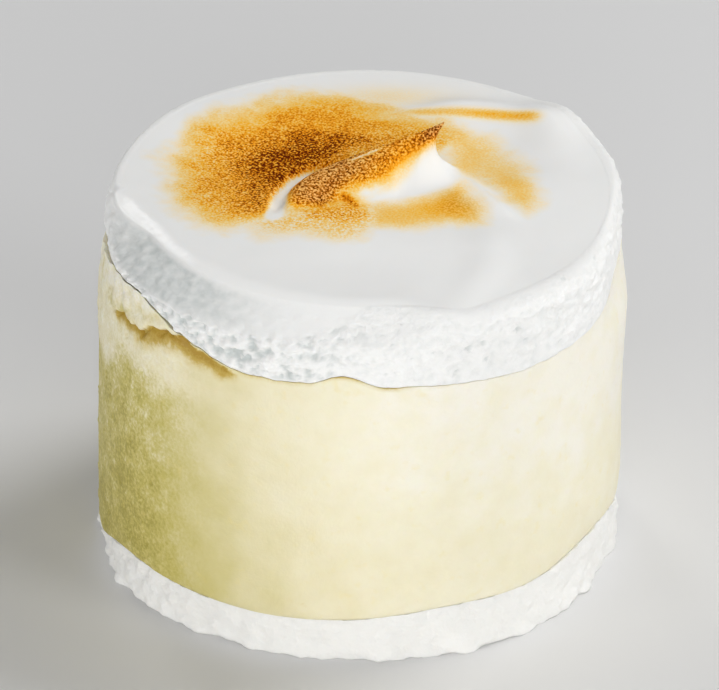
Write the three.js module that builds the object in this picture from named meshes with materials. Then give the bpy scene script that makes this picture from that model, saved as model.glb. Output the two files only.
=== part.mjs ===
// A single lemon mousse: a round of white sponge, a tall layer of pale lemon mousse set in a
// pastry ring, and a cap of soft meringue that is spread flat, cut round and pulled up into a curl.
// Millimetres, +Z up. The origin is the middle of the sponge's foot, and -Y is the front.
// Angles are in degrees, from +X at the right through +Y at the back.

import * as THREE from 'three';
import { ImprovedNoise } from 'three/addons/math/ImprovedNoise.js';
import { mergeVertices } from 'three/addons/utils/BufferGeometryUtils.js';

// Driving dimensions
const ringRadius = 35; // a 70 mm pastry ring
const spongeHeight = 6.1;
const mousseHeight = 35.9; // the foot of the meringue stands at 42
const meringueHeight = 9.7;
const peakHeight = 7.5; // the curl above the flat of the meringue
const layerGap = 0.3; // keeps the layers from sharing a face
const leanAtFoot = -0.4; // the stack was set down by hand, so its middle drifts to the right
const leanPerHeight = 0.016;
const roundSteps = 108; // facets round each layer

const mousseTop = spongeHeight + mousseHeight;
const meringueTop = mousseTop + meringueHeight;

// How uneven the layers are round the side: height in mm, then middle and spread in degrees
const spongeBumps = [[1.2, 292, 22], [2.5, 334, 18], [-4.9, 181, 17]]; // it thins out at the far left
const meringueBumps = [[-1.5, 310, 28], [-0.2, 250, 9], [1.5, 266, 5]];
const lip = { height: 4.9, starts: [150, 215], ends: [210, 246] };

// The outside of each layer
const spongeWall = { inset: 0.4, footRound: 0.3, crags: 0.55, cragSize: 3.6 };
const spongeSpread = [[1, 303, 22], [0.5, 208, 10]]; // where the foot of the sponge stands out
const mousseWall = {
  footPull: 0.35, footHeight: 0.8, rimRound: 0.15, tuck: 0.2, tuckAt: [342, 36], tuckFade: [6, 13],
  bulge: 0.1, bulgeAt: [5, 26], bulgeHeight: [37, 6], uneven: 0.2, unevenSize: 15,
};
const tapers = [ // the top of the mousse leans in at either side
  { inset: 1.25, at: [178, 24], heights: [35, 49] },
  { inset: 1.7, at: [351, 16], heights: [34.5, 42] },
];
const meringueWall = {
  inset: 0.5, insetStarts: [45, 75], insetEnds: [186, 206], belly: 0.4, bellyAt: [180, 14],
  bellyShare: [0.45, 0.3], rowPower: 1.6,
};
const foam = { height: 0.45, size: 2.9, starts: [0, 0.08], ends: [0.45, 0.8] }; // shares of the height
const rim = { radius: 32.3, shoulder: 3.4 };
const corner = { height: 2.2, starts: [284, 296], ends: [345, 358] }; // a tighter turn at the right
const bevel = {
  inset: 2.5, starts: [180, 204], ends: [276, 294], kneeHeight: 47.4, kneeShares: [0.05, 0.9],
  kneeRound: 0.02,
};
const rolled = { drop: 0.45, width: 2.3, starts: [180, 188], ends: [276, 294] }; // edge above the bevel

// The joint between two layers is flat in the middle and turns up or down only near the outside.
const joint = { flat: 29.5, knee: 31.8, kneeShare: 0.5, spongeEdge: 33.8 };

const noise = new ImprovedNoise();
const { smoothstep, lerp, clamp, degToRad, radToDeg } = THREE.MathUtils;

// Small tools for shaping

function bell(offset, spread) {
  return Math.exp(-((offset / spread) ** 2));
}

function turnBetween(angle, centre) {
  return ((((angle - centre + 180) % 360) + 360) % 360) - 180;
}

function bellRound(angle, centre, spread) {
  return bell(turnBetween(angle, centre), spread);
}

// Bumps round the side, summed
function bumpsRound(angle, bumps) {
  return bumps.reduce((sum, [height, middle, spread]) => sum + height * bellRound(angle, middle, spread), 0);
}

// Rises from 0 to 1 over the first stretch, and falls back to 0 over the second
function spell(value, starts, ends) {
  return smoothstep(value, ...starts) * (1 - smoothstep(value, ...ends));
}

const fineCrumb = { height: 0.5, scale: 2.1, shift: 7.3 }; // against the coarse crumbs it lies on

function crumb(x, y, z, size) {
  const coarse = [x / size, y / size, z / size];
  const fine = coarse.map((v) => fineCrumb.scale * v + fineCrumb.shift);
  return noise.noise(...coarse) + fineCrumb.height * noise.noise(...fine);
}

const strokeSteps = 64;

// A knife stroke or fold seen from above: a smooth line through a few points. It tells how far a point
// is from the line, on which side (positive to the left of its direction), and how far along it lies.
function strokeThrough(points) {
  const corners = points.map(([x, y]) => new THREE.Vector3(x, y, 0));
  const samples = new THREE.CatmullRomCurve3(corners, false, 'catmullrom').getPoints(strokeSteps);
  return (x, y) => {
    let best = { distance: Infinity };
    for (let i = 0; i < samples.length - 1; i += 1) {
      const [a, b] = [samples[i], samples[i + 1]];
      const [dx, dy] = [b.x - a.x, b.y - a.y];
      const along = ((x - a.x) * dx + (y - a.y) * dy) / (dx * dx + dy * dy);
      const t = clamp(along, 0, 1);
      const [ox, oy] = [x - a.x - t * dx, y - a.y - t * dy];
      const distance = Math.hypot(ox, oy);
      if (distance < best.distance) {
        const side = Math.sign(dx * oy - dy * ox) || 1;
        best = { distance, side, along: (i + t) / (samples.length - 1) };
      }
    }
    return best;
  };
}

// Where the layers meet at the outside

function spongeEdge(angle) {
  return spongeHeight + bumpsRound(angle, spongeBumps);
}

// At the left a lip of mousse was squeezed up past the meringue.
function mousseLip(angle) {
  return lip.height * spell(angle, lip.starts, lip.ends);
}

function meringueEdge(angle) {
  return mousseTop + bumpsRound(angle, meringueBumps) + mousseLip(angle);
}

// The outside of each layer, as a radius about the leaning middle

function direction(angle) {
  return [Math.cos(degToRad(angle)), Math.sin(degToRad(angle))];
}

function onRing(angle) {
  return direction(angle).map((share) => share * ringRadius);
}

function spongeRadius(angle, z) {
  const { inset, footRound, crags, cragSize } = spongeWall;
  const foot = footRound * Math.exp(-z / footRound);
  const spread = bumpsRound(angle, spongeSpread) * (1 - z / spongeEdge(angle));
  return ringRadius - inset - foot + spread + crags * crumb(...onRing(angle), z, cragSize);
}

function mousseRadius(angle, z) {
  const { footPull, footHeight, tuck, tuckAt, tuckFade, bulge, bulgeAt, bulgeHeight } = mousseWall;
  const foot = footPull * Math.exp((spongeEdge(angle) - z) / footHeight);
  const tucked = tuck * bellRound(angle, ...tuckAt) * (1 - smoothstep(z, ...tuckFade));
  const bulging = bulge * bellRound(angle, ...bulgeAt) * bell(z - bulgeHeight[0], bulgeHeight[1]);
  const leansIn = ({ inset, at, heights }) => inset * bellRound(angle, ...at) * smoothstep(z, ...heights);
  const tapered = tapers.reduce((sum, taper) => sum + leansIn(taper), 0);
  const [x, y, height] = [...onRing(angle), z].map((v) => v / mousseWall.unevenSize);
  return ringRadius - foot - tucked + bulging - tapered + mousseWall.uneven * noise.noise(x, y, height);
}

// The meringue is flush with the mousse at the front, and a little set in at the back.
function meringueFootRadius(angle) {
  const { inset, insetStarts, insetEnds } = meringueWall;
  return mousseRadius(angle, meringueEdge(angle)) - inset * spell(angle, insetStarts, insetEnds);
}

// The flat top ends further in at the left and the front, where the knife left a broad bevel.
function bevelShare(angle) {
  return spell(angle, bevel.starts, bevel.ends);
}

function meringueRimRadius(angle) {
  return rim.radius - bevel.inset * bevelShare(angle);
}

// The cut wall rounds over into the top, in a tighter turn at the right. At the bevel it stands up to a
// knee and then leans straight back. Each reach is 1 at the foot of the wall and 0 at the rim.
function roundedReach(share) {
  return (1 - share ** rim.shoulder) ** (1 / rim.shoulder);
}

function corneredReach(belowTop) {
  return Math.sqrt(1 - clamp(1 - belowTop / corner.height, 0, 1) ** 2);
}

function slantedReach(share, kneeShare) {
  const past = (share - kneeShare) / (1 - kneeShare);
  return 1 - (past + Math.sqrt(past ** 2 + bevel.kneeRound * (1 - share))) / 2;
}

function meringueWallRadius(angle, share, foot, top) {
  const cornered = corneredReach((1 - share) * (top - foot));
  const round = lerp(roundedReach(share), cornered, spell(angle, corner.starts, corner.ends));
  const kneeShare = clamp((bevel.kneeHeight - foot) / (top - foot), ...bevel.kneeShares);
  const reach = lerp(round, slantedReach(share, kneeShare), bevelShare(angle));
  const { belly, bellyAt, bellyShare } = meringueWall;
  const bulging = belly * bellRound(angle, ...bellyAt) * bell(share - bellyShare[0], bellyShare[1]);
  return lerp(meringueRimRadius(angle), meringueFootRadius(angle), reach) + bulging;
}

// The meringue's top: spread flat, with the marks of the knife and the curl where it was lifted off

const tilt = { front: 0.02, back: 0.006 }; // rise towards the back, mm per mm
const lobes = [ // soft rises at the back, the sinking rim at the right, and a ramp the knife left
  { height: 1.3, x: 26, y: 18.5, spreadX: 4.5, spreadY: 5 },
  { height: 0.5, x: -23, y: 20, spreadX: 7, spreadY: 8 },
  { height: -1, x: 29, y: -17, spreadX: 11, spreadY: 13 },
  { height: -0.5, x: 20, y: -30, spreadX: 8, spreadY: 8 },
  { height: -1.3, x: 13, y: -31, spreadX: 4.5, spreadY: 6.5 },
];
const hollows = [
  { x: -11, y: 8.5, reachX: 13, reachY: 10.5, depth: 1.2 }, // the dish behind the curl
  { x: 18, y: 8.5, reachX: 7.5, reachY: 5.5, depth: 0.6 }, // to the right of the curl
  { x: 2, y: -22, reachX: 11, reachY: 7, depth: 0.5 }, // the middle of the front
];
const hollowPower = 3; // flat in the middle, steep at the brim
const always = { starts: [-1, 0], ends: [1, 2] }; // no fading at either end
const marks = [
  {
    line: strokeThrough([[-11.3, -7.2], [-10.8, -3], [-10.3, 0.8], [-8.9, 4.6], [-6, 7.4], [0, 9]]),
    height: -1.1, left: 0.9, right: 0.9, starts: [0, 0.25], ends: [0.75, 1], // gutter behind the curl
  },
  {
    line: strokeThrough([[11.5, 5], [15, 0], [18.2, -4.9], [21.5, -8]]),
    height: 0.55, left: 1.1, right: 1.1, starts: always.starts, ends: [0.6, 1], // crease to the right
  },
  {
    line: strokeThrough([[14, -9], [16, -14], [16.2, -20], [13.9, -26], [10, -33]]),
    height: 0.6, left: 2.8, right: 2.8, starts: [0, 0.3], ends: always.ends, // swell at the front
  },
  {
    line: strokeThrough([[2, 18.5], [9, 21.2], [15, 21.7], [20.5, 20], [25, 16.5], [28.5, 10], [30.5, 4]]),
    height: 1.0, left: 2.2, right: 4.2, starts: [0, 0.3], ends: [0.6, 1], // ridge at the back
  },
];

const curl = strokeThrough([[-8.6, -5.5], [-8.1, -1.2], [-5.6, 2], [-1.2, 3.9], [3.6, 4.6], [7.2, 4.6]]);
const curlTip = { x: 7.2, y: 4.6 }; // before the curl leans over
const curlLean = { x: 3.7, y: -0.4, power: 2.4 };
const ridge = { nose: 0.7, noseLength: 0.12, hook: 1.4, slopePower: 1.4, hookPower: 12, rounding: 0.35 };
const frontFoot = { nose: 2.6, middle: 9.0, tip: 6.5, widens: [0, 0.55], narrows: [0.7, 1] };
const backFoot = { nose: 1.3, tip: 4.2 };
const horn = { power: 2.4, front: [0.55, 1], back: [0.2, 0.8] };

function hollowDepth(x, y, { x: cx, y: cy, reachX, reachY, depth }) {
  const reach = Math.hypot((x - cx) / reachX, (y - cy) / reachY);
  return depth * Math.exp(-(reach ** hollowPower));
}

function lobeHeight(x, y, { height, x: cx, y: cy, spreadX, spreadY }) {
  return height * bell(x - cx, spreadX) * bell(y - cy, spreadY);
}

function markHeight(x, y, { line, height, left, right, starts, ends }) {
  const { distance, side, along } = line(x, y);
  return height * bell(distance, side > 0 ? left : right) * spell(along, starts, ends);
}

// The curl grows along its ridge from a low nose at the left to the tip. Its front is a long full slope,
// its back drops into the gutter, and towards the tip it hollows into a thin horn.
function curlHeight(x, y) {
  const { distance, side, along } = curl(x, y);
  const nose = ridge.nose * smoothstep(along, 0, ridge.noseLength);
  const slope = (peakHeight - ridge.nose - ridge.hook) * along ** ridge.slopePower;
  const crest = nose + slope + ridge.hook * along ** ridge.hookPower;
  const widened = lerp(frontFoot.nose, frontFoot.middle, smoothstep(along, ...frontFoot.widens));
  const front = widened - (frontFoot.middle - frontFoot.tip) * smoothstep(along, ...frontFoot.narrows);
  const back = lerp(backFoot.nose, backFoot.tip, along);
  const reach = Math.hypot(distance, ridge.rounding) - ridge.rounding;
  const share = Math.min(1, reach / (side < 0 ? front : back));
  const full = Math.cos((share * Math.PI) / 2) ** 2;
  const thin = (1 - share) ** horn.power;
  return crest * lerp(full, thin, smoothstep(along, ...(side < 0 ? horn.front : horn.back)));
}

// The edge above the bevel is rolled over: 0 on the flat, 1 at the bevel.
function rolledShare(x, y) {
  const fromMiddle = x - leanAtFoot - leanPerHeight * meringueTop;
  const angle = (radToDeg(Math.atan2(y, fromMiddle)) + 360) % 360;
  const inFromRim = meringueRimRadius(angle) - Math.hypot(fromMiddle, y);
  return (1 - clamp(inFromRim / rolled.width, 0, 1)) * spell(angle, rolled.starts, rolled.ends);
}

function meringueSurface(x, y) {
  const raised = lobes.reduce((sum, lobe) => sum + lobeHeight(x, y, lobe), 0);
  const sunk = hollows.reduce((sum, hollow) => sum + hollowDepth(x, y, hollow), 0);
  const marked = marks.reduce((sum, mark) => sum + markHeight(x, y, mark), 0);
  const dropped = rolled.drop * rolledShare(x, y) ** 2;
  const tilted = y * (y < 0 ? tilt.front : tilt.back);
  return meringueTop + tilted + raised - sunk + marked - dropped;
}

// Each layer is a lathe whose rows are then laid along the layer's own uneven shape

const weldDistance = 1e-4;

function latheLayer(rows, place, coveredRows) {
  const profile = rows.map((row, i) => {
    const onAxis = i === 0 || i === rows.length - 1;
    return new THREE.Vector2(onAxis ? 0 : 1, i);
  });
  const geometry = new THREE.LatheGeometry(profile, roundSteps);
  geometry.deleteAttribute('normal');
  geometry.deleteAttribute('uv');
  const position = geometry.getAttribute('position');
  for (let i = 0; i < position.count; i += 1) {
    const angle = (360 * (Math.floor(i / rows.length) % roundSteps)) / roundSteps;
    position.setXYZ(i, ...place(rows[i % rows.length], angle));
  }
  turnSplits(geometry.getIndex(), rows.length - 1, coveredRows);
  return dropFlatFaces(mergeVertices(geometry, weldDistance));
}

// A lathe splits all its four-sided faces one way. The last rows, which lie under the next layer, are
// split the other way, so that both layers fold alike and keep their gap.
function turnSplits(index, facesPerStep, coveredRows) {
  for (let face = 0; face < index.count / 6; face += 1) {
    if (face % facesPerStep >= facesPerStep - coveredRows) {
      const [a, b, d, c] = index.array.slice(6 * face, 6 * face + 4);
      index.array.set([a, b, c, a, c, d], 6 * face);
    }
  }
}

// Lathe faces that touch the axis have lost one side, so they go.
function dropFlatFaces(geometry) {
  const index = geometry.getIndex().array;
  const kept = [];
  for (let i = 0; i < index.length; i += 3) {
    const [a, b, c] = index.subarray(i, i + 3);
    if (a !== b && b !== c && c !== a) kept.push(a, b, c);
  }
  return geometry.setIndex(kept);
}

function around(angle, radius, z) {
  const [x, y] = direction(angle);
  return [leanAtFoot + leanPerHeight * z + radius * x, radius * y, z];
}

function layer(name, { rows, place, coveredRows }, look) {
  const material = new THREE.MeshStandardMaterial({ metalness: 0, ...look });
  const mesh = new THREE.Mesh(latheLayer(rows, place, coveredRows), material);
  mesh.name = name;
  return mesh;
}

// The rows of a joint, from the middle outwards. Each row gives a radius and a height for an angle.
function jointRows(edgeRadius, edge, middle) {
  return [
    () => [0, middle],
    () => [joint.flat, middle],
    (angle) => [joint.knee, lerp(middle, edge(angle), joint.kneeShare)],
    (angle) => [edgeRadius(angle), edge(angle)],
  ];
}

const placeRow = (row, angle) => around(angle, ...row(angle));
const spongeEdgeRadius = () => joint.spongeEdge;
const jointFaces = 3; // rows of faces in a joint

// The sponge: a crumbly wall on a flat foot
const spongeShares = [0, 0.12, 0.3, 0.54, 0.78, 1];

function sponge() {
  const wall = spongeShares.map((share) => (angle) => {
    const z = share * spongeEdge(angle);
    return [spongeRadius(angle, z), z];
  });
  const top = jointRows(spongeEdgeRadius, spongeEdge, spongeHeight);
  return { rows: [() => [0, 0], ...wall, ...top.reverse()], place: placeRow, coveredRows: jointFaces };
}

// The mousse: a smooth wall up to the meringue
const mousseShares = [0, 0.03, 0.08, 0.2, 0.4, 0.62, 0.82, 0.94, 1];

function mousse() {
  const floorOf = (angle) => spongeEdge(angle) + layerGap;
  const edgeOf = (angle) => meringueEdge(angle) - layerGap;
  const floor = jointRows(spongeEdgeRadius, floorOf, spongeHeight + layerGap);
  const wall = mousseShares.map((share) => (angle) => {
    const z = lerp(floorOf(angle), edgeOf(angle) - mousseWall.rimRound, share);
    return [mousseRadius(angle, z), z];
  });
  const top = jointRows(meringueFootRadius, edgeOf, mousseTop - layerGap);
  return { rows: [...floor, ...wall, ...top.reverse()], place: placeRow, coveredRows: jointFaces };
}

// The meringue: a foamy cut wall that rounds over into the spread top, whose rows close in on the tip
const wallRows = 11;
const topRows = 27;
const topRowPower = 1.5;
const topRowEase = 0.3;

function meringue() {
  const wall = Array.from({ length: wallRows }, (_, i) => (angle) => {
    const share = 1 - (1 - i / wallRows) ** meringueWall.rowPower; // closer together near the rim
    const [foot, top] = [meringueEdge(angle), rimHeight(angle)];
    const z = lerp(foot, top, share);
    const plain = meringueWallRadius(angle, share, foot, top);
    const foamy = foam.height * spell(share, foam.starts, foam.ends);
    return [plain + foamy * crumb(...onRing(angle), z, foam.size), z];
  });
  const top = Array.from({ length: topRows + 1 }, (_, i) => topShare(1 - i / topRows));
  const foot = jointRows(meringueFootRadius, meringueEdge, mousseTop);
  return { rows: [...foot.slice(0, jointFaces), ...wall, ...top], place: placeMeringue, coveredRows: 0 };
}

// Rows of the top lie closest at the tip and at the curl's nose, where the shape turns fastest.
function topShare(even) {
  const eased = even + (topRowEase * Math.sin(2 * Math.PI * even)) / (2 * Math.PI);
  return eased ** topRowPower;
}

function rimHeight(angle) {
  const [x, y] = around(angle, meringueRimRadius(angle), meringueTop);
  return meringueSurface(x, y);
}

// A row of the top is a share of the way from the curl's tip to the rim.
function placeMeringue(row, angle) {
  if (typeof row === 'function') return placeRow(row, angle);
  const [rimX, rimY] = around(angle, meringueRimRadius(angle), meringueTop);
  const [x, y] = [lerp(curlTip.x, rimX, row), lerp(curlTip.y, rimY, row)];
  const rise = curlHeight(x, y);
  const pull = (rise / peakHeight) ** curlLean.power;
  return [x + curlLean.x * pull, y + curlLean.y * pull, meringueSurface(x, y) + rise];
}

const lemonMousse = new THREE.Group();
lemonMousse.add(
  layer('sponge_base', sponge(), { color: '#f0efe9', roughness: 0.9 }),
  layer('lemon_mousse', mousse(), { color: '#f1e8bd', roughness: 0.55 }),
  layer('meringue_cap', meringue(), { color: '#f6f5f2', roughness: 0.45 }),
);

export default lemonMousse;
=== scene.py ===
import math
from types import SimpleNamespace

import bmesh
import bpy
import numpy as np
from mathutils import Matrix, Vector, noise


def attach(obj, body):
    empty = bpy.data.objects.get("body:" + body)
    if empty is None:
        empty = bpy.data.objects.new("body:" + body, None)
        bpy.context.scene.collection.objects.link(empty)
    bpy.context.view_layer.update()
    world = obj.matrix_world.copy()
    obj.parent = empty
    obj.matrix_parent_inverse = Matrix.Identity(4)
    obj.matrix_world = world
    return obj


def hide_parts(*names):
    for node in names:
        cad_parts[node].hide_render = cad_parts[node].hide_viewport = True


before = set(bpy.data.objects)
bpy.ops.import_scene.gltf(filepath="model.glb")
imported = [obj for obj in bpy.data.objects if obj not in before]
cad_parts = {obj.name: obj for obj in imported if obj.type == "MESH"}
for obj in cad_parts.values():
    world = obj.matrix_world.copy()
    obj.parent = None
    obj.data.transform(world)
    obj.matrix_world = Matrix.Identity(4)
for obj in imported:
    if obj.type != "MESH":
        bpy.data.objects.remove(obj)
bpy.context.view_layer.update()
print("loaded", len(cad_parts), "nodes")

mm = 0.001  # sizes below are in millimetres, Blender works in metres
stack = dict(
    ring=35.0,          # radius of the pastry ring
    sponge=6.1,         # where the sponge ends
    mousse=42.0,        # where the mousse ends
    top=51.7,           # flat of the meringue
    gap=0.02,           # layers all but touch
    leanFoot=-0.4,      # the middle drifts to the right on the way up
    leanRise=0.016,
)


# shaping tools, all of them work on whole arrays

def bell(offset, spread):
    return np.exp(-(offset / spread) ** 2)


def smooth(value, low, high):
    t = np.clip((value - low) / (high - low), 0, 1)
    return t * t * (3 - 2 * t)


def mix(a, b, share):
    return a + (b - a) * share


def waves(angle, bumps):  # bumps round the side: height, middle in degrees, spread in degrees
    return sum(height * bell((angle - middle + 180) % 360 - 180, spread)
               for height, middle, spread in bumps)


def spell(value, starts, ends):  # 1 over a stretch, with soft ends
    return smooth(value, *starts) * (1 - smooth(value, *ends))


def spot(x, y, middle, reach):  # a soft round spot in plan
    return bell(np.hypot((x - middle[0]) / reach[0], (y - middle[1]) / reach[1]), 1)


def grain(points, size, where, octaves=3):  # fractal noise, features about size mm across
    value = np.zeros(len(points))
    value[where] = [noise.fractal(Vector(p), 1.0, 2.0, octaves) for p in points[where] / size]
    return value


def lumps(points, size, where):  # round lumps with narrow clefts between them, 0 to about 1
    value = np.zeros(len(points))
    value[where] = [1 - noise.voronoi(Vector(p))[0][0] for p in points[where] / size]
    return value


def strokeLine(points, closed=False, steps=64):  # a smooth line through a few plan points
    posts = np.array(points, float)
    before, after = 2 * posts[0] - posts[1], 2 * posts[-1] - posts[-2]
    if closed:
        before, after = posts[-1], posts[:2]
    posts = np.vstack([before, posts, after])
    spans = len(posts) - 3
    along = np.linspace(0, spans, steps + 1)
    span = np.minimum(along.astype(int), spans - 1)
    f = (along - span)[:, None]
    a, b, c, d = posts[span], posts[span + 1], posts[span + 2], posts[span + 3]
    return b + 0.5 * f * (c - a + f * (2 * a - 5 * b + 4 * c - d + f * (3 * (b - c) + d - a)))


def nearStroke(line, x, y):  # how far away, on which side (1 is left), and what share of the way along
    far = np.full(x.shape, np.inf)
    side = np.ones(x.shape)
    along = np.zeros(x.shape)
    for i in range(len(line) - 1):
        start, step = line[i], line[i + 1] - line[i]
        share = np.clip(((x - start[0]) * step[0] + (y - start[1]) * step[1]) / step.dot(step), 0, 1)
        offX, offY = x - start[0] - share * step[0], y - start[1] - share * step[1]
        distance = np.hypot(offX, offY)
        nearer = distance < far
        far = np.where(nearer, distance, far)
        side = np.where(nearer, np.where(step[0] * offY - step[1] * offX < 0, -1, 1), side)
        along = np.where(nearer, (i + share) / (len(line) - 1), along)
    return SimpleNamespace(far=far, side=side, along=along)


def leanAt(z):
    return stack["leanFoot"] + stack["leanRise"] * z


def around(angle, radius, z):
    turn = np.radians(angle)
    return np.stack([leanAt(z) + radius * np.cos(turn), radius * np.sin(turn), z + 0 * radius], -1)


# every layer starts as a plain closed tin, one unit wide and high: floor, wall, lid

tin = dict(wedges=20, mergeWithin=1e-5, almostOne=1 - 1e-4, crispAngle=70)


def addPiece(name, bm):
    mesh = bpy.data.meshes.new(name)
    bm.to_mesh(mesh)
    bm.free()
    piece = bpy.data.objects.new(name, mesh)
    bpy.context.scene.collection.objects.link(piece)
    return piece


def spinTin(name, rows, steps):
    bm = bmesh.new()
    corners = [bm.verts.new(p) for p in ((0, 0, 0), (1, 0, 0), (1, 0, 1), (0, 0, 1))]
    edges = [bm.edges.new(pair) for pair in zip(corners, corners[1:])]
    for edge, count in zip(edges, rows):
        bmesh.ops.subdivide_edges(bm, edges=[edge], cuts=count - 1)
    wedges = tin["wedges"]
    wedge = 2 * math.pi / wedges  # one wedge is spun, then copied round, which is much quicker
    bmesh.ops.spin(bm, geom=bm.verts[:] + bm.edges[:], cent=(0, 0, 0), axis=(0, 0, 1),
                   angle=wedge, steps=steps // wedges)
    bmesh.ops.spin(bm, geom=bm.verts[:] + bm.edges[:] + bm.faces[:], cent=(0, 0, 0), axis=(0, 0, 1),
                   angle=wedge * (wedges - 1), steps=wedges - 1, use_duplicate=True)
    bmesh.ops.remove_doubles(bm, verts=bm.verts, dist=tin["mergeWithin"])
    bmesh.ops.recalc_face_normals(bm, faces=bm.faces)
    return addPiece(name, bm)


def tinParts(piece):  # each vertex's angle, and its share along the floor, wall or lid
    co = np.empty(3 * len(piece.data.vertices))
    piece.data.vertices.foreach_get("co", co)
    co = co.reshape(-1, 3)
    reach = np.hypot(co[:, 0], co[:, 1])
    angle = np.degrees(np.arctan2(co[:, 1], co[:, 0])) % 360
    onWall = reach > tin["almostOne"]
    onLid = (co[:, 2] > tin["almostOne"]) & ~onWall
    return angle, reach, co[:, 2], ~(onWall | onLid), onWall, onLid


def press(piece, points):  # gives the tin its real shape, in metres
    piece.data.vertices.foreach_set("co", (points * mm).ravel())
    piece.data.shade_smooth()
    piece.data.set_sharp_from_angle(angle=math.radians(tin["crispAngle"]))  # where a wall meets its foot
    piece.data.update()


def paint(piece, **masks):  # masks that the material reads
    for name, values in masks.items():
        layer = piece.data.attributes.new(name, "FLOAT", "POINT")
        layer.data.foreach_set("value", np.ascontiguousarray(values, dtype=np.float32))


# where the layers meet at the outside

joints = dict(
    sponge=((1.2, 292, 22), (2.5, 334, 18), (-4.9, 181, 17)),       # thins out at the far left
    meringue=((-1.5, 310, 28), (-0.2, 250, 9), (1.5, 266, 5)),
    wobble=0.22, wobbleSize=3.0,
    lipHeight=4.9, lipStarts=(150, 215), lipEnds=(210, 246),        # mousse squeezed up past the meringue
    flat=29.5,                                                      # a joint is level out to here
)


def spongeEdge(angle):
    return stack["sponge"] + waves(angle, joints["sponge"])


def mousseLip(angle):
    return joints["lipHeight"] * spell(angle, joints["lipStarts"], joints["lipEnds"])


def meringueEdge(angle):
    rim = around(angle, stack["ring"], stack["mousse"] + 0 * angle)
    wobble = joints["wobble"] * grain(rim, joints["wobbleSize"], np.ones(len(angle), bool))
    return stack["mousse"] + waves(angle, joints["meringue"]) + mousseLip(angle) + wobble


def jointHeight(edge, middle, radius, edgeRadius):  # flat inside, turning to the edge near the outside
    return mix(middle, edge, np.clip((radius - joints["flat"]) / (edgeRadius - joints["flat"]), 0, 1))


# sponge foot

sponge = dict(
    rows=(4, 28, 4), steps=600,
    inset=0.4, footRound=0.3, spread=((1.0, 303, 22), (0.5, 208, 10)),      # squashed out at the foot
    crag=0.55, cragSize=2.6, cragMiddle=0.45,
    ragged=0.9, raggedSize=4.0, raggedHeight=2.5,                           # torn low down
    crumb=0.18, crumbSize=0.9,
)


def makeSponge():
    piece = spinTin("spongeFoot", sponge["rows"], sponge["steps"])
    angle, reach, height, floor, wall, lid = tinParts(piece)
    edge = spongeEdge(angle)
    z = np.where(floor, 0, height * edge)
    plain = stack["ring"] - sponge["inset"] - sponge["footRound"] * np.exp(-z / sponge["footRound"])
    plain += waves(angle, sponge["spread"]) * (1 - z / edge)
    points = around(angle, plain, z)
    rough = sponge["crag"] * (lumps(points, sponge["cragSize"], wall) - sponge["cragMiddle"])
    torn = grain(points, sponge["raggedSize"], wall, octaves=2)
    rough += sponge["ragged"] * torn * np.exp(-z / sponge["raggedHeight"])
    rough += sponge["crumb"] * grain(points, sponge["crumbSize"], wall)
    radius = np.where(wall, plain + rough, reach * plain)
    z = np.where(lid, jointHeight(edge, stack["sponge"], radius, plain), z)
    press(piece, around(angle, radius, z))
    return piece


# lemon mousse

mousse = dict(
    rows=(8, 112, 8), steps=600,
    foot=0.35, footHeight=0.8, footReach=33.8, rimRound=0.06,       # the wall pulls in at the sponge
    bulge=((0.1, 5, 26),), bulgeAt=(37, 6),
    tuck=((0.2, 342, 36),), tuckFade=(6, 13),
    leftTaper=((1.25, 178, 24),), leftTaperAt=(35, 49),
    rightTaper=((1.7, 351, 16),), rightTaperAt=(34.5, 42),
    uneven=0.2, unevenSize=16, skin=0.06, skinSize=2.2,
    crack=((199, 40.3), (203, 40.8), (209, 41.3), (214.5, 41.3),    # angle, height
           (217, 42.2), (219, 43), (223, 43.4), (226.5, 44),
           (230.6, 43.4), (235.3, 42.7), (240, 41.7), (244.5, 41)),
    crackDepth=0.9, crackWidth=0.35, crackRagged=0.5, raggedSize=1.8,
    crackStarts=(0, 0.1), crackEnds=(0.6, 0.8),                     # shares of its length
    flap=0.35, flapWidth=2.0, flapShade=0.3, flapShadeWidth=2.2,    # stands out above the crack, with painted shade along it
    coarseStarts=(150, 180), coarseEnds=(208, 240),                 # drier and coarser at the left
    clots=0.5, clotSize=2.2, clotMiddle=0.5, clotsFrom=(36, 42),
    clotShade=0.3, clotShadeFrom=(38, 42), clotGaps=(0, 0.4),
    bubbleSize=1.5, bubble=0.12, bubbleFrom=(0.4, 0.75),            # left by the whisk
    pit=0.2, pitFrom=(0.45, 0.8), pitShade=0.22,
    blotch=0.2, blotchSize=2.6, cloudSize=5,
    shadedSide=((0.85, 190, 54),), sideFade=0.2, sideFadeEnds=(197, 209),        # how dark the left side is: partly its own deeper yellow, partly painted shade away from the light
    lowShade=0.15, lowShadeEnds=(8, 36),
    paleFrom=35.2, paleDrop=4.0, paleDropEnds=(195, 206),           # a paler stretch near the top
    paleCloud=2.0, paleBelow=2.4, paleAbove=2.6, paleEnds=(222, 240),
    paleShare=(0.62, 0.9), paleShareFrom=(39, 42), paleCalm=0.5,
    juice=1.05, juiceCloud=0.3, juiceRagged=0.2, juiceSeep=0.3,     # runs from the crack
    juiceReach=1.4, juicePool=((2.4, 225, 14),), juiceStarts=(0.0, 0.12), juiceEnds=(0.9, 1.0),
    seam=0.4, seamCloud=0.4, seamWidth=0.45, seamStarts=(236, 246), seamEnds=(276, 300),
    drips=((0.5, 259, 3.5, 9.3, 0.8),                               # strength, angle and its spread,
           (0.4, 206.5, 1.5, 34.5, 0.7)),                           # height and its spread
    dripRagged=3, dripFrom=(-0.1, 0.3),
)


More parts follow.
